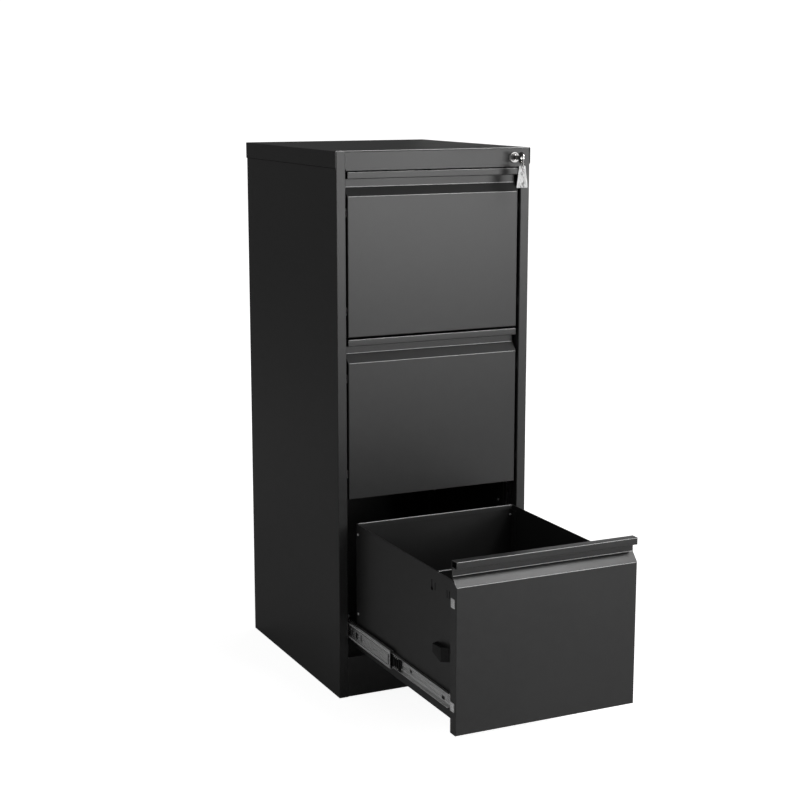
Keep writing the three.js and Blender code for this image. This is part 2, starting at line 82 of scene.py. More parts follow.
class Nodes:
    """A small builder for one material's node tree."""

    def __init__(self, name):
        self.material = bpy.data.materials.new(name)
        self.material.use_nodes = True
        self.tree = self.material.node_tree
        self.shader = self.tree.nodes["Principled BSDF"]

    def add(self, kind, inputs=None, **settings):
        node = self.tree.nodes.new(kind)
        for key, value in settings.items():
            setattr(node, key, value)
        for key, value in (inputs or {}).items():
            self.feed(node.inputs[key], value)
        return node

    def feed(self, socket, value):
        if isinstance(value, bpy.types.NodeSocket):
            self.tree.links.new(value, socket)
        else:
            socket.default_value = value

    def where(self):
        return self.add("ShaderNodeTexCoord").outputs["Object"]

    def stretched(self, scale):
        return self.add("ShaderNodeMapping", {"Vector": self.where(), "Scale": scale}).outputs["Vector"]

    def noise(self, scale, detail, vector=None):
        inputs = {"Vector": vector or self.where(), "Scale": scale, "Detail": detail, "Roughness": 0.5}
        return self.add("ShaderNodeTexNoise", inputs).outputs["Fac"]

    def spread(self, value, low, high, out_low, out_high):
        inputs = {"Value": value, "From Min": low, "From Max": high, "To Min": out_low, "To Max": out_high}
        return self.add("ShaderNodeMapRange", inputs).outputs["Result"]

    def mix(self, share, first, second):
        node = self.add("ShaderNodeMix", data_type="RGBA")
        self.feed(node.inputs[0], share)
        self.feed(node.inputs[6], first)
        self.feed(node.inputs[7], second)
        return node.outputs[2]

    def maths(self, operation, first, second):
        node = self.add("ShaderNodeMath", operation=operation)
        self.feed(node.inputs[0], first)
        self.feed(node.inputs[1], second)
        return node.outputs[0]

    def bump(self, height, distance, strength, below=None):
        inputs = {"Height": height, "Distance": distance, "Strength": strength}
        if below is not None:
            inputs["Normal"] = below
        return self.add("ShaderNodeBump", inputs).outputs["Normal"]

    def edges(self, radius):
        """0 on flat surfaces, towards 1 where a rounded edge turns away from the surface."""
        soft = self.add("ShaderNodeBevel", {"Radius": radius}, samples=4).outputs["Normal"]
        true = self.add("ShaderNodeNewGeometry").outputs["True Normal"]
        dot = self.add("ShaderNodeVectorMath", operation="DOT_PRODUCT")
        self.feed(dot.inputs[0], soft)
        self.feed(dot.inputs[1], true)
        return self.spread(dot.outputs["Value"], 0.995, 0.80, 0.0, 1.0)

    def upper_edge_highlight_and_wear(self, radius):
        """The edges that face upwards, where light catches the fold and a hand or a folder rubs: a painted
        highlight with a little wear; the others show a quarter as much.
        """
        soft = self.add("ShaderNodeBevel", {"Radius": radius}, samples=4).outputs["Normal"]
        up = self.add("ShaderNodeSeparateXYZ", {"Vector": soft}).outputs["Z"]
        return self.maths("MULTIPLY", self.edges(radius), self.spread(up, 0.15, 0.5, 0.2, 1.0))

    def finish(self, **sockets):
        for key, value in sockets.items():
            self.feed(self.shader.inputs[key.replace("_", " ")], value)
        return self.material


def grey(value, warm=0.0):
    return (value * (1 + warm), value, value * (1 - warm), 1.0)


# ---------------------------------------------------------------- materials

def powder_coat(name, tone, roughness):
    """Black powder coat: a fine pebbled film with slow tone drift, paler and shinier over the upper edges as
    a painted highlight with a little wear.
    """
    n = Nodes(name)
    drift = n.noise(5.0, 3.0)
    cloud = n.noise(60.0, 5.0)
    pebble = n.noise(1500.0, 2.0)
    highlight_and_wear = n.upper_edge_highlight_and_wear(0.0013)
    base = n.mix(n.spread(drift, 0.3, 0.7, 0.0, 1.0), grey(tone * 0.93), grey(tone * 1.07))
    base = n.mix(n.spread(cloud, 0.35, 0.65, 0.0, 0.4), base, grey(tone * 1.2))
    # painted highlight: the upper edges are lightened towards grey, with a little rubbed paint
    base = n.mix(n.maths("MULTIPLY", highlight_and_wear, 0.8), base, grey(0.2))
    rough = n.spread(n.maths("ADD", cloud, drift), 0.7, 1.3, roughness - 0.012, roughness + 0.012)
    rough = n.maths("SUBTRACT", rough, n.maths("MULTIPLY", highlight_and_wear, 0.1))
    orange_peel = n.bump(n.noise(260.0, 2.0), 0.00006, 0.35)
    fine = n.bump(pebble, 0.00003, 0.5, orange_peel)
    return n.finish(Base_Color=base, Roughness=rough, Normal=fine, IOR=1.48)


def zinc_plate(name, tone, roughness, grain, metallic=1.0):
    """Zinc plate over rolled steel: streaks along the rolling direction and a faint spangle."""
    n = Nodes(name)
    streaks = n.noise(1.0, 4.0, n.stretched(grain))
    spangle = n.add("ShaderNodeTexVoronoi", {"Vector": n.where(), "Scale": 140.0}).outputs["Distance"]
    stain = n.noise(30.0, 3.0)
    base = n.mix(n.spread(streaks, 0.3, 0.7, 0.0, 1.0), grey(tone * 0.8), grey(tone * 1.12))
    base = n.mix(n.spread(spangle, 0.2, 0.9, 0.0, 0.25), base, grey(tone * 0.7, 0.01))
    base = n.mix(n.spread(stain, 0.55, 0.8, 0.0, 0.35), base, grey(tone * 0.45, 0.02))
    rough = n.spread(streaks, 0.25, 0.75, roughness - 0.06, roughness + 0.1)
    bump = n.bump(streaks, 0.00004, 0.35)
    return n.finish(Base_Color=base, Roughness=rough, Metallic=metallic, Normal=bump)


def polished_nickel(name, tone, roughness):
    """Plated brass: a soft haze and fine scratches along the axis of the lock."""
    n = Nodes(name)
    haze = n.noise(90.0, 4.0)
    scratches = n.noise(1.0, 3.0, n.stretched((900.0, 60.0, 900.0)))
    base = n.mix(n.spread(haze, 0.35, 0.65, 0.0, 1.0), grey(tone * 0.85, 0.01), grey(tone * 1.1, 0.015))
    rough = n.spread(n.maths("ADD", haze, scratches), 0.7, 1.3, roughness - 0.06, roughness + 0.08)
    bump = n.bump(scratches, 0.00002, 0.3)
    return n.finish(Base_Color=base, Roughness=rough, Metallic=1.0, Normal=bump)


def moulded_nylon(name):
    """Black moulded plastic: a spark-eroded grain, paler where an edge is rubbed."""
    n = Nodes(name)
    cloud = n.noise(120.0, 4.0)
    grain = n.noise(2400.0, 2.0)
    base = n.mix(n.spread(cloud, 0.3, 0.7, 0.0, 1.0), grey(0.003), grey(0.007))
    base = n.mix(n.maths("MULTIPLY", n.edges(0.0006), 0.6), base, grey(0.04))
    rough = n.spread(cloud, 0.3, 0.7, 0.42, 0.56)
    bump = n.bump(grain, 0.00004, 0.5)
    return n.finish(Base_Color=base, Roughness=rough, Specular_IOR_Level=0.3, Normal=bump)


def painted_shade_black(name):
    """Near-black matt felt for painted shade: nearly no gloss, with a faint nap."""
    n = Nodes(name)
    nap = n.noise(3000.0, 3.0)
    cloud = n.noise(90.0, 4.0)
    base = n.mix(n.spread(cloud, 0.3, 0.7, 0.0, 1.0), grey(0.0015), grey(0.004))
    base = n.mix(n.maths("MULTIPLY", n.edges(0.0004), 0.5), base, grey(0.01))
    rough = n.spread(nap, 0.3, 0.7, 0.88, 0.98)
    bump = n.bump(nap, 0.00008, 0.6)
    return n.finish(Base_Color=base, Roughness=rough, Specular_IOR_Level=0.04, Normal=bump)


def clear_sleeve(name):
    """The spare key's thin plastic sleeve: milky film with creases, denser where it is crumpled."""
    n = Nodes(name)
    crease = n.noise(170.0, 3.0, n.stretched((1.0, 1.0, 0.35)))
    fleck = n.noise(1.0, 2.0, n.stretched((420.0, 420.0, 260.0)))
    across = n.add("ShaderNodeSeparateXYZ", {"Vector": n.where()}).outputs["X"]
    off_centre = n.maths("ABSOLUTE", n.maths("SUBTRACT", across, EYE_AT.x), 0.0)
    middle = n.spread(off_centre, 0.003, 0.0055, 1.0, 0.0)
    base = n.mix(n.spread(crease, 0.35, 0.65, 0.0, 1.0), grey(0.75), grey(0.98))
    base = n.mix(n.maths("MULTIPLY", middle, n.spread(fleck, 0.45, 0.58, 0.0, 0.9)), base, grey(0.05))
    rough = n.spread(crease, 0.3, 0.7, 0.2, 0.4)
    dense = n.spread(crease, 0.35, 0.65, 0.66, 0.88)
    return n.finish(Base_Color=base, Roughness=rough, Alpha=dense, Normal=n.bump(crease, 0.0006, 0.7))


MATERIALS = {
    "powder_coat": powder_coat("powder_coat", 0.022, 0.36),
    "drawer_paint": powder_coat("drawer_paint", 0.018, 0.36),
    "inner_paint": powder_coat("inner_paint", 0.018, 0.4),
    "slide_zinc": zinc_plate("slide_zinc", 0.88, 0.28, (900.0, 14.0, 900.0)),
    "fitting_zinc": zinc_plate("fitting_zinc", 0.85, 0.34, (300.0, 300.0, 60.0)),
    "lock_chrome": polished_nickel("lock_chrome", 0.6, 0.16),
    "black_plastic": moulded_nylon("black_plastic"),
    "clear_sleeve": clear_sleeve("clear_sleeve"),
}
SATIN_NICKEL = polished_nickel("satin_nickel", 0.3, 0.34)
# A near-white copy of the powder coat: the painted highlight on the fold rods
FOLD_HIGHLIGHT_PAINT = powder_coat("fold_highlight_paint", 0.9, 0.3)
# The near-black matt material of the painted shade pieces
PAINTED_SHADE_BLACK = painted_shade_black("painted_shade_black")
# A paler, mostly diffuse copy of the zinc: painted highlight on the slide beads and the clips
ZINC_HIGHLIGHT = zinc_plate("zinc_highlight", 0.95, 0.24, (900.0, 14.0, 900.0), metallic=0.2)


# ---------------------------------------------------------------- mesh helpers

def dress(obj, slot):
    obj.data.materials.clear()
    obj.data.materials.append(MATERIALS[slot])


SHARP_ANGLE = 35.0


def piece(name, bm, slot, body, smooth=True, bevel=0.0, segments=2):
    """Links a finished bmesh as a named piece that rides on a body."""
    bmesh.ops.recalc_face_normals(bm, faces=bm.faces)
    mesh = bpy.data.meshes.new(name)
    bm.to_mesh(mesh)
    bm.free()
    obj = bpy.data.objects.new(name, mesh)
    bpy.context.scene.collection.objects.link(obj)
    if bevel > 0:
        add_bevel(obj, bevel, segments, SHARP_ANGLE)
    if smooth:
        mesh.shade_smooth()
        mesh.set_sharp_from_angle(angle=math.radians(SHARP_ANGLE))
    dress(obj, slot)
    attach(obj, body)
    return obj


def add_bevel(obj, width, segments, angle):
    bevel = obj.modifiers.new("edge", "BEVEL")
    bevel.width = width
    bevel.segments = segments
    bevel.limit_method = "ANGLE"
    bevel.angle_limit = math.radians(angle)
    bevel.harden_normals = False


def lathe(bm, profile, place, steps):
    """A closed body turned from (radius, height) points, its axis along local +Z."""
    rings = []
    for radius, height in profile:
        if radius == 0:
            rings.append([bm.verts.new(place @ Vector((0, 0, height)))])
            continue
        ring = []
        for k in range(steps):
            turn = 2 * math.pi * k / steps
            point = Vector((radius * math.cos(turn), radius * math.sin(turn), height))
            ring.append(bm.verts.new(place @ point))
        rings.append(ring)
    for low, high in zip(rings, rings[1:]):
        for k in range(steps):
            following = (k + 1) % steps
            if len(low) == 1:
                bm.faces.new((low[0], high[k], high[following]))
            elif len(high) == 1:
                bm.faces.new((low[k], high[0], low[following]))
            else:
                bm.faces.new((low[k], high[k], high[following], low[following]))


def box(bm, low, high):
    size = [high[i] - low[i] for i in range(3)]
    middle = [(high[i] + low[i]) / 2 for i in range(3)]
    bmesh.ops.create_cube(bm, size=1.0, matrix=Matrix.Translation(middle) @ Matrix.Diagonal((*size, 1)))


def facing(normal, at):
    """A frame whose +Z points along the normal, at a point."""
    return Matrix.Translation(at) @ Vector(normal).to_track_quat("Z", "Y").to_matrix().to_4x4()


# ---------------------------------------------------------------- the CAD nodes' finish

SHEET_EDGE = 0.00018


def finish_cad_node(name, obj):
    """Rejoins the facets, keeps each flat face whole and rounds the cut edges of the sheet."""
    dress(obj, SLOT_OF[name])
    custom = obj.data.attributes.get("custom_normal")
    if custom is not None:
        obj.data.attributes.remove(custom)
    obj.data.polygons.foreach_set("use_smooth", [True] * len(obj.data.polygons))
    weld = obj.modifiers.new("weld", "WELD")
    weld.merge_threshold = 0.00001
    flat = obj.modifiers.new("flat", "DECIMATE")
    flat.decimate_type = "DISSOLVE"
    flat.angle_limit = math.radians(0.6)
    add_bevel(obj, SHEET_EDGE, 1, 42.0)
    shade = obj.modifiers.new("shade", "WEIGHTED_NORMAL")
    shade.weight = 90
    shade.keep_sharp = False


for node_name, node_object in NODES.items():
    finish_cad_node(node_name, node_object)
for satin_name in ("lock_core", "lock_housing"):
    NODES[satin_name].data.materials[0] = SATIN_NICKEL


# ---------------------------------------------------------------- pieces

DRAWER_AT = {}
MIDDLE_FRONT = {}
for level, drawer_name in enumerate(DRAWERS):
    drawn = TRAVEL if drawer_name == "bottom_drawer" else 0.0
    DRAWER_AT[drawer_name] = (CLOSED_FACE - drawn, LOWEST_FRONT + FRONT_PITCH * level)
    MIDDLE_FRONT[drawer_name] = CLOSED_MIDDLE - drawn / 2

# Turned profiles from the middle outwards, in shares of the head's radius and height
PAN_PROFILE = ((0, 0.45), (0.16, 0.45), (0.3, 0.98), (0.6, 1), (0.86, 0.78), (1, 0.35), (1, 0), (0, 0))
DOME_PROFILE = ((0, 0.5), (0.28, 0.5), (0.36, 1), (0.7, 0.82), (0.94, 0.4), (1, 0), (0, 0))
# The stud's profile, in metres
STUD_PROFILE = ((0, 0.0042), (0.002, 0.0041), (0.0032, 0.0032), (0.0036, 0.0018), (0.0036, 0), (0, 0))


def head(bm, profile, at, normal, radius, height):
    """The head of a screw or a rivet, with a sunk middle."""
    turned = [(radius * across, height * up) for across, up in profile]
    lathe(bm, turned, facing(normal, at), 24)


def between(side, near, far):
    """The two distances from the middle plane as ordered x values on one side of the cabinet."""
    return sorted((side * near, side * far))


def repaint(obj, material):
    """Gives a piece a variant of its slot's material."""
    obj.data.materials[0] = material


WELD_HALF = 0.0008
WELD_PROUD = 0.00004
WELDS = {"rail_weld": (0.9975, 1.0285), "kick_weld": (0.0012, 0.0772)}


def seam_fillers():
    """The painted-over welds that close the joints of the front frame."""
    for label, side in SIDES:
        inner, outer = between(side, STILE_INNER - WELD_HALF, STILE_INNER + WELD_HALF)
        for kind, (low, high) in WELDS.items():
            bm = bmesh.new()
            box(bm, (inner, CARCASS_FRONT - WELD_PROUD, low), (outer, CARCASS_FRONT + 0.001, high))
            piece(f"{kind}_{label}", bm, "powder_coat", "cabinet", bevel=0.00003)


STUD_AT = (-0.2263, 0.1605)
POST_FACE = 0.1798
POST_SCREW_DEPTHS = (-0.157, 0.175)
POST_SCREW_HEIGHTS = (0.0965, 0.2505)
BACK_RIVET_X = 0.1912
BACK_RIVET_FACE = 0.22872
BACK_RIVETS = 6
BACK_RIVET_PITCH = 0.178
CAP_SCREW_HEIGHT = 1.0148


def carcass_fixings():
    """Screws and rivets of the carcass."""
    for label, side in SIDES:
        bm = bmesh.new()
        lathe(bm, STUD_PROFILE, facing((-side, 0, 0), (side * STILE_INNER, *STUD_AT)), 20)
        piece(f"stile_stud_{label}", bm, "fitting_zinc", "cabinet")
        bm = bmesh.new()
        for _, bottom in DRAWER_AT.values():
            for height in POST_SCREW_HEIGHTS:
                for depth in POST_SCREW_DEPTHS:
                    at = (side * POST_FACE, depth, bottom + height)
                    head(bm, PAN_PROFILE, at, (-side, 0, 0), 0.0034, 0.0016)
        piece(f"post_screws_{label}", bm, "fitting_zinc", "cabinet")
    bm = bmesh.new()
    for _, side in SIDES:
        for k in range(BACK_RIVETS):
            at = (side * BACK_RIVET_X, BACK_RIVET_FACE, 0.06 + BACK_RIVET_PITCH * k)
            head(bm, DOME_PROFILE, at, (0, 1, 0), 0.0034, 0.0012)
    piece("back_rivets", bm, "fitting_zinc", "cabinet")
    bm = bmesh.new()
    for x in (-0.15, 0.0, 0.15):
        head(bm, PAN_PROFILE, (x, CARCASS_BACK, CAP_SCREW_HEIGHT), (0, 1, 0), 0.0036, 0.0018)
    piece("cap_screws", bm, "fitting_zinc", "cabinet")


def rod_along_x(bm, half_length, y, z, radius=0.00045):
    place = Matrix.Translation((-half_length, y, z)) @ Matrix.Rotation(math.pi / 2, 4, "Y")
    lathe(bm, ((0, 0), (radius, 0), (radius, 2 * half_length), (0, 2 * half_length)), place, 12)


# Folds of a drawer front: how far behind its face, and how far above its foot
FRONT_FOLDS = ((0.0007, 0.3003), (0.00043, 0.25703), (0.01477, 0.27378))
BACK_FOLD = (0.4225, 0.26055)
BAR_FOLD = (0.0887, 0.2603)


def fold_highlights():
    """Painted highlights along the folds: thin near-white rods, a hair proud of the sheet."""
    for name, (face, bottom) in DRAWER_AT.items():
        bm = bmesh.new()
        for y, z in FRONT_FOLDS:
            rod_along_x(bm, 0.1738, face + y, bottom + z)
        rod_along_x(bm, 0.1625, face + BACK_FOLD[0], bottom + BACK_FOLD[1], 0.0008)
        repaint(piece(f"{name}_fold_highlights", bm, "drawer_paint", name), FOLD_HIGHLIGHT_PAINT)
        bm = bmesh.new()
        rod_along_x(bm, 0.1635, face + BAR_FOLD[0], bottom + BAR_FOLD[1], 0.0006)
        repaint(piece(f"{name}_bar_fold_highlight", bm, "drawer_paint", name), FOLD_HIGHLIGHT_PAINT)
    bm = bmesh.new()
    rod_along_x(bm, 0.1988, CARCASS_FRONT + 0.00025, HEIGHT - 0.00025)
    repaint(piece("cap_fold_highlight", bm, "powder_coat", "cabinet"), FOLD_HIGHLIGHT_PAINT)


def rail_hem():
    """The rail's folded lower edge, just above the top drawer's lip."""
    half = STILE_INNER - 0.0004
    bm = bmesh.new()
    box(bm, (-half, CARCASS_FRONT, 0.9945), (half, CARCASS_FRONT + 0.0016, 0.9975))
    piece("rail_hem", bm, "powder_coat", "cabinet", bevel=0.0003)


# Painted shade under the top's skirt: its inner face and its heights
SKIRT_SHADE_INNER = 0.1982
SKIRT_SHADE_HEIGHTS = (0.9986, 0.99985)


def cap_skirt_shade():
    """The dark bead under the top's skirt, round the sides and the back: painted shade for the line that the
    skirt's overhang shades.
    """
    low, high = SKIRT_SHADE_HEIGHTS
    bm = bmesh.new()
    for _, side in SIDES:
        inner, outer = between(side, SKIRT_SHADE_INNER, 0.1996)
        box(bm, (inner, CARCASS_FRONT + 0.0015, low), (outer, CARCASS_BACK - 0.0013, high))
    box(bm, (-SKIRT_SHADE_INNER, CARCASS_BACK - 0.0021, low), (SKIRT_SHADE_INNER, CARCASS_BACK - 0.0004, high))
    piece("cap_skirt_shade", bm, "black_plastic", "cabinet", bevel=0.0002)


CLIP_AT = (0.1755, 0.0122)
CLIP_HALF = (0.0066, 0.0052)
CLIP_CORNER = 0.0014
CLIP_HEIGHTS = (0.0478, 0.228)
# The clip's plate and its dimple, as shares of its outline and heights above the sheet
CLIP_LEVELS = ((1.0, 0.0), (1.0, 0.0006), (0.62, 0.0006), (0.52, 0.0012), (0.3, 0.0013))


def spring_clip(bm, side, face_y, height):
    """A zinc clip pressed over the front's side return: a dimpled plate with rounded corners."""
    out, back = CLIP_AT
    centre = Matrix.Translation((side * out, face_y + back, height))
    place = centre @ Matrix.Rotation(side * math.pi / 2, 4, "Y")
    outline = []
    for cx, cy, start in ((1, 1, 0), (-1, 1, 90), (-1, -1, 180), (1, -1, 270)):
        for k in range(5):
            turn = math.radians(start + 22.5 * k)
            u = cx * CLIP_HALF[0] + CLIP_CORNER * math.cos(turn)
            v = cy * CLIP_HALF[1] + CLIP_CORNER * math.sin(turn)
            outline.append((side * u, v))
    rings = []
    for scale, depth in CLIP_LEVELS:
        rings.append([bm.verts.new(place @ Vector((u * scale, v * scale, depth))) for u, v in outline])
    for low, high in zip(rings, rings[1:]):
        for k in range(len(low)):
            following = (k + 1) % len(low)
            bm.faces.new((low[k], low[following], high[following], high[k]))
    bm.faces.new(rings[0][::-1])
    bm.faces.new(rings[-1])


SIDE_SCREW_DEPTH = 0.416
SIDE_SCREW_HEIGHTS = (0.088, 0.242)
BACK_SCREW = (0.161, 0.423, 0.2416)
SLIDE_RIVET_DEPTHS = (0.086, 0.143, 0.283, 0.418)


def drawer_fixings():
    """The clips, the box's screws and the inner slide member's rivets."""
    for name, (face, bottom) in DRAWER_AT.items():
        for label, side in SIDES:
            bm = bmesh.new()
            for height in CLIP_HEIGHTS:
                spring_clip(bm, side, face, bottom + height)
            # painted highlight: the clips wear the paler zinc copy
            repaint(piece(f"{name}_clips_{label}", bm, "fitting_zinc", name), ZINC_HIGHLIGHT)
            bm = bmesh.new()
            for height in SIDE_SCREW_HEIGHTS:
                at = (side * BOX_SIDE, face + SIDE_SCREW_DEPTH, bottom + height)
                head(bm, PAN_PROFILE, at, (side, 0, 0), 0.0028, 0.0013)
            out, back, up = BACK_SCREW
            head(bm, PAN_PROFILE, (side * out, face + back, bottom + up), (0, -1, 0), 0.0026, 0.0012)
            piece(f"{name}_screws_{label}", bm, "fitting_zinc", name)
            bm = bmesh.new()
            for depth in SLIDE_RIVET_DEPTHS:
                at = (side * INNER_WEB, face + depth, bottom + SLIDE_CENTRE)
                head(bm, DOME_PROFILE, at, (side, 0, 0), 0.0026, 0.0006)
            piece(f"{name}_slide_rivets_{label}", bm, "slide_zinc", name)


SLOT_SHADE_DEPTHS = ((0.0395, 0.0535), (0.0925, 0.1135))
SLOT_SHADE_HEIGHTS = (0.22, 0.243)


def slot_shade(name, label, side):
    """Painted shade: near-black matt strips inside the side behind its slots, which darken the view through
    them.
    """
    face, bottom = DRAWER_AT[name]
    low, high = SLOT_SHADE_HEIGHTS
    inner, outer = between(side, BOX_SIDE - 0.0013, BOX_SIDE - 0.0009)
    bm = bmesh.new()
    for near, far in SLOT_SHADE_DEPTHS:
        box(bm, (inner, face + near, bottom + low), (outer, face + far, bottom + high))
    # painted shade: dark strips behind the slots
    shade_strip = piece(f"{name}_slot_shade_{label}", bm, "black_plastic", name, bevel=0.0001)
    repaint(shade_strip, PAINTED_SHADE_BLACK)


CAGE_INNER = 0.1692
CAGE_SPAN = (-0.031, 0.012)
CAGE_RIBS = (-0.0285, -0.0215, -0.0145, -0.0075)
BALL_RADIUS = 0.0016


def ball_retainer(name, label, side):
    """The black ball cage that stands out of the middle member, and its balls in the inner member's races."""
    body = f"{name}_slide_middle_{label}"
    front = MIDDLE_FRONT[name]
    start, end = (front + reach for reach in CAGE_SPAN)
    centre = DRAWER_AT[name][1] + SLIDE_CENTRE
    bm = bmesh.new()
    inner, outer = between(side, CAGE_INNER, CAGE_INNER + 0.002)
    box(bm, (inner, start, centre - 0.0102), (outer, end, centre + 0.0102))
    inner, outer = between(side, CAGE_INNER, CAGE_INNER + 0.0044)
    for edge in (-1, 1):
        low, high = sorted((centre + edge * 0.0088, centre + edge * 0.0106))
        box(bm, (inner, start, low), (outer, end, high))
    for rib in CAGE_RIBS:
        box(bm, (inner, front + rib, centre - 0.0096), (outer, front + rib + 0.0018, centre + 0.0096))
    piece(f"{name}_ball_cage_{label}", bm, "black_plastic", body, bevel=0.0003)
    bm = bmesh.new()
    for edge in (-1, 1):
        for k in range(3):
            at = Matrix.Translation((side * 0.1727, front - 0.025 + 0.007 * k, centre + edge * 0.0098))
            bmesh.ops.create_uvsphere(bm, u_segments=16, v_segments=10, radius=BALL_RADIUS, matrix=at)
    piece(f"{name}_slide_balls_{label}", bm, "lock_chrome", body)


BEAD_RADIUS = 0.0009


def bead(bm, x, start, z, length):
    """A rolled bead: a thin rod along +Y with rounded ends."""
    tip = BEAD_RADIUS - 0.0002
    profile = (
        (0, 0), (tip, 0.0001), (BEAD_RADIUS, 0.001),
        (BEAD_RADIUS, length - 0.001), (tip, length), (0, length),
    )
    lathe(bm, profile, Matrix.Translation((x, start, z)) @ Matrix.Rotation(-math.pi / 2, 4, "X"), 12)


def slide_beads(name, label, side):
    """The rolled beads along the members: two on the middle member's web, two on the inner member's web, in a
    paler zinc copy that paints their highlight.
    """
    face, bottom = DRAWER_AT[name]
    centre = bottom + SLIDE_CENTRE
    middle = f"{name}_slide_middle_{label}"
    for kind, x, start, length, heights, body in (
        ("middle", 0.1772, MIDDLE_FRONT[name] + 0.001, 0.38, (-0.0125, 0.0125), middle),
        ("inner", 0.1681, face + 0.034, 0.386, (-0.0085, 0.0102), name),
    ):
        bm = bmesh.new()
        for height in heights:
            bead(bm, side * x, start, centre + height, length)
        repaint(piece(f"{name}_{kind}_beads_{label}", bm, "slide_zinc", body), ZINC_HIGHLIGHT)


# Painted shade on the middle slide member: the heights and width of its dark strips, and the steps of its
# dark crescent
CREASE_SHADE_HEIGHTS = (-0.0112, 0.0112)
CREASE_SHADE_WIDTH = 0.0009
CRESCENT_SHADE_STEPS = 8


def slide_crease_shade(name, label, side):
    """Painted shade: dark strips on the middle member's web for the shade in the creases beside its beads,
    and a curved one across its front end.
    """
    front = MIDDLE_FRONT[name]
    centre = DRAWER_AT[name][1] + SLIDE_CENTRE
    bm = bmesh.new()
    inner, outer = between(side, 0.1768, 0.1774)
    for height in CREASE_SHADE_HEIGHTS:
        low = centre + height - CREASE_SHADE_WIDTH / 2
        box(bm, (inner, front + 0.0095, low), (outer, front + 0.3785, low + CREASE_SHADE_WIDTH))
    for k in range(CRESCENT_SHADE_STEPS):
        turn = math.radians(-56 + 14 * k)
        near = front + 0.003 + 0.004 * math.cos(turn)
        low = centre + 0.0105 * math.sin(turn) - 0.0014
        box(bm, (inner, near, low), (outer, near + 0.0012, low + 0.0031))
    body = f"{name}_slide_middle_{label}"
    repaint(piece(f"{name}_slide_crease_shade_{label}", bm, "black_plastic", body, smooth=False), PAINTED_SHADE_BLACK)


def slide_bumper(name, label, side):
    """The outer member's end stop, a moulded buffer on the post behind the drawer."""
    centre = DRAWER_AT[name][1] + SLIDE_CENTRE
    bm = bmesh.new()
    inner, outer = between(side, 0.1705, 0.178)
    box(bm, (inner, 0.2085, centre - 0.012), (outer, 0.2165, centre + 0.012))
    piece(f"{name}_slide_stop_{label}", bm, "black_plastic", "cabinet", bevel=0.0012, segments=3)


def in_sleeve(u, v, depth=0.0):
    """A point of the sleeve, from its width, height above its eye and depth."""
    return EYE_AT + Vector((u, -depth, v))


SLEEVE_NECK = 0.0065
SLEEVE_FLARE = 0.0055


def sleeve_half_width(v):
    """The sleeve widens evenly from its neck to its foot, and its corners are rounded."""
    share = (SLEEVE_TOP - v) / (SLEEVE_TOP - SLEEVE_FOOT)
    width = SLEEVE_NECK + SLEEVE_FLARE * share
    for end, radius in ((SLEEVE_TOP, 0.0016), (SLEEVE_FOOT, 0.0012)):
        gap = radius - abs(v - end)
        if gap > 0:
            width -= radius - math.sqrt(max(radius ** 2 - gap ** 2, 0.0))
    return width


FILM_COLUMNS = 12
FILM_ROWS = 30
FILM_EDGE = 0.00012
FILM_SWELL = 0.0008
FILM_CREASE = 0.00008


def film_sheet(bm, face):
    """One of the two films as a grid of vertices: swollen over the key and lightly creased."""
    grid = []
    for j in range(FILM_ROWS + 1):
        v = SLEEVE_TOP + (SLEEVE_FOOT - SLEEVE_TOP) * j / FILM_ROWS
        half = sleeve_half_width(v)
        line = []
        for i in range(FILM_COLUMNS + 1):
            share = 2 * i / FILM_COLUMNS - 1
            swell = (1 - abs(share) ** 2.5) * math.sin(math.pi * j / FILM_ROWS) ** 0.5
            crease = FILM_CREASE * math.sin(31 * share + 0.9 * j) * math.cos(0.7 * j - 5 * share)
            depth = face * (FILM_EDGE + FILM_SWELL * swell + crease * swell)
            line.append(bm.verts.new(in_sleeve(share * half, v, depth)))
        grid.append(line)
    return grid


def sleeve_film():
    """Two films welded along their rims over the spare key: one closed skin."""
    columns, rows = FILM_COLUMNS, FILM_ROWS
    bm = bmesh.new()
    front = film_sheet(bm, 1)
    back = film_sheet(bm, -1)
    for grid in (front, back):
        for upper, lower in zip(grid, grid[1:]):
            for i in range(columns):
                bm.faces.new((upper[i], upper[i + 1], lower[i + 1], lower[i]))
    rim = [(0, i) for i in range(columns)] + [(j, columns) for j in range(rows)]
    rim += [(rows, i) for i in range(columns, 0, -1)] + [(j, 0) for j in range(rows, 0, -1)]
    for (j, i), (next_j, next_i) in zip(rim, rim[1:] + rim[:1]):
        bm.faces.new((front[j][i], front[next_j][next_i], back[next_j][next_i], back[j][i]))
    return piece("sleeve_film", bm, "clear_sleeve", "spare_key")


BOW_RADIUS = 0.0064
BOW_AT = -0.0105
BOW_HOLE = 0.0022
BOW_STEPS = 28
KEY_HALF = 0.00035
# The blade below the bow, with its notches on one side: across, and above the sleeve's eye
BLADE = (
    (0.0021, -0.0165), (0.0021, -0.0335), (0.0008, -0.0348), (-0.0012, -0.0335), (-0.0012, -0.0315),
    (-0.0022, -0.0304), (-0.0009, -0.029), (-0.0023, -0.0272), (-0.0009, -0.0254), (-0.0022, -0.0238),
    (-0.0022, -0.0165),
)


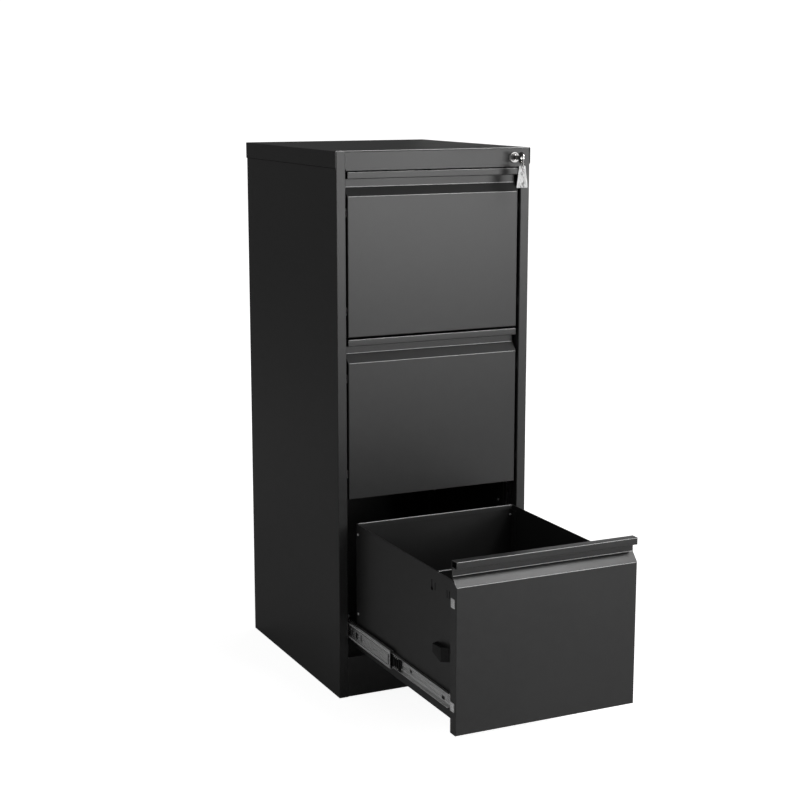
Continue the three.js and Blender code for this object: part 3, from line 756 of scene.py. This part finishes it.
def spare_key():
    """The flat key in the sleeve: a round bow with a hole, a shoulder and a notched blade."""
    outline = []
    for k in range(BOW_STEPS + 1):
        turn = math.radians(-70 + 320 * k / BOW_STEPS)
        outline.append((BOW_RADIUS * math.cos(turn), BOW_AT + BOW_RADIUS * math.sin(turn)))
    outline += reversed(BLADE)
    bm = bmesh.new()
    bm.faces.new([bm.verts.new(in_sleeve(u, v, -KEY_HALF)) for u, v in outline])
    swept = bmesh.ops.extrude_face_region(bm, geom=bm.faces[:])
    moved = [item for item in swept["geom"] if isinstance(item, bmesh.types.BMVert)]
    bmesh.ops.translate(bm, vec=(0, -2 * KEY_HALF, 0), verts=moved)
    repaint(piece("sleeve_key", bm, "lock_chrome", "spare_key", smooth=False), SATIN_NICKEL)
    bm = bmesh.new()
    disc = ((0, 0), (BOW_HOLE, 0), (BOW_HOLE, 0.00015), (0, 0.00015))
    lathe(bm, disc, facing((0, -1, 0), in_sleeve(0, BOW_AT - 0.001, 0.0004)), 20)
    piece("sleeve_key_hole", bm, "black_plastic", "spare_key", smooth=False)


# The eyelet's section, closed on itself: radius and depth
GROMMET = (
    (0.002, -0.0007), (0.0027, -0.0007), (0.0029, 0.0),
    (0.0027, 0.0007), (0.002, 0.0007), (0.002, -0.0007),
)


def spare_key_sleeve():
    film = sleeve_film()
    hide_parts("spare_key_sleeve")
    spare_key()
    bm = bmesh.new()
    lathe(bm, GROMMET, facing((0, -1, 0), in_sleeve(0, 0)), 28)
    bmesh.ops.remove_doubles(bm, verts=bm.verts, dist=1e-6)
    repaint(piece("sleeve_eyelet", bm, "lock_chrome", "spare_key"), SATIN_NICKEL)


seam_fillers()
carcass_fixings()
cap_skirt_shade()
fold_highlights()
rail_hem()
drawer_fixings()
spare_key_sleeve()
for drawer_name in DRAWERS:
    for side_label, side_sign in SIDES:
        slot_shade(drawer_name, side_label, side_sign)
        ball_retainer(drawer_name, side_label, side_sign)
        slide_bumper(drawer_name, side_label, side_sign)
        slide_beads(drawer_name, side_label, side_sign)
        slide_crease_shade(drawer_name, side_label, side_sign)


# ---------------------------------------------------------------- stage, lights and camera

FLOOR_HALF = 9.0


def make_stage():
    """A pale floor that fades into the white background away from the cabinet."""
    bm = bmesh.new()
    bmesh.ops.create_grid(bm, x_segments=1, y_segments=1, size=FLOOR_HALF)
    mesh = bpy.data.meshes.new("floor")
    bm.to_mesh(mesh)
    bm.free()
    floor = bpy.data.objects.new("floor", mesh)
    bpy.context.scene.collection.objects.link(floor)
    n = Nodes("pale_floor")
    n.finish(Base_Color=grey(0.8), Roughness=0.9, Specular_IOR_Level=0.0)
    seen = n.add("ShaderNodeLightPath").outputs["Is Camera Ray"]
    away = n.add("ShaderNodeVectorMath", {"Vector": n.where()}, operation="LENGTH").outputs["Value"]
    glow = n.maths("MULTIPLY", seen, n.spread(away, 0.5, 2.4, 0.9, 1.1))
    n.finish(Emission_Color=grey(1.0), Emission_Strength=glow)
    mesh.materials.append(n.material)


def make_world():
    """A white surround that lights the cabinet only faintly."""
    world = bpy.data.worlds.new("studio")
    bpy.context.scene.world = world
    world.use_nodes = True
    tree = world.node_tree
    background = tree.nodes["Background"]
    path = tree.nodes.new("ShaderNodeLightPath")
    strength = tree.nodes.new("ShaderNodeMapRange")
    strength.inputs["To Min"].default_value = 0.1
    strength.inputs["To Max"].default_value = 1.1
    tree.links.new(path.outputs["Is Camera Ray"], strength.inputs["Value"])
    tree.links.new(strength.outputs["Result"], background.inputs["Strength"])
    background.inputs["Color"].default_value = (1, 1, 1, 1)


def softbox(name, target, azimuth, elevation, distance, size, power):
    """An area light that faces its target, from an angle right of the front and above level, in degrees."""
    turn, rise = math.radians(azimuth), math.radians(elevation)
    ray = Vector((math.sin(turn) * math.cos(rise), -math.cos(turn) * math.cos(rise), math.sin(rise)))
    data = bpy.data.lights.new(name, "AREA")
    data.shape = "RECTANGLE"
    data.size, data.size_y = size
    data.energy = power
    light = bpy.data.objects.new(name, data)
    bpy.context.scene.collection.objects.link(light)
    light.location = Vector(target) + distance * ray
    light.rotation_euler = (-ray).to_track_quat("-Z", "Y").to_euler()


def make_camera():
    """The photograph's angle, with no shift."""
    data = bpy.data.cameras.new("camera")
    data.lens = LENS
    data.sensor_width = 36.0
    data.clip_start, data.clip_end = 0.05, 100.0
    camera = bpy.data.objects.new("camera", data)
    bpy.context.scene.collection.objects.link(camera)
    ahead = Vector((math.sin(YAW) * math.cos(PITCH), math.cos(YAW) * math.cos(PITCH), -math.sin(PITCH)))
    camera.location = EYE
    camera.rotation_euler = ahead.to_track_quat("-Z", "Y").to_euler()
    bpy.context.scene.camera = camera


make_stage()
make_world()
softbox("front_right", (0.0, -0.3, 0.9), 25.0, 0.0, 3.0, (1.6, 0.6), 26.5)
softbox("front_right_low", (0.0, -0.3, 0.35), 25.0, 0.0, 3.0, (1.6, 0.5), 3)
softbox("high_right", (0.0, -0.3, 0.55), 25.0, 50.0, 2.6, (0.9, 0.6), 9)
softbox("slant_light", (0.0, -0.65, 0.34), 53.0, 52.0, 2.2, (0.6, 0.5), 14)
softbox("left", (0.0, -0.1, 0.5), -90.0, 13.1, 3.08, (3.0, 2.4), 6)
softbox("left_front", (0.0, -0.3, 0.55), -60.0, 25.0, 3.0, (1.6, 1.6), 3.2)
softbox("back_right", (0.0, 0.2, 0.6), 135.0, 1.8, 3.11, (1.8, 1.0), 8)
softbox("right", (0.2, 0.0, 0.7), 100.5, 16.2, 2.86, (2.0, 1.2), 4)
make_camera()
bpy.context.scene.view_settings.view_transform = "Standard"
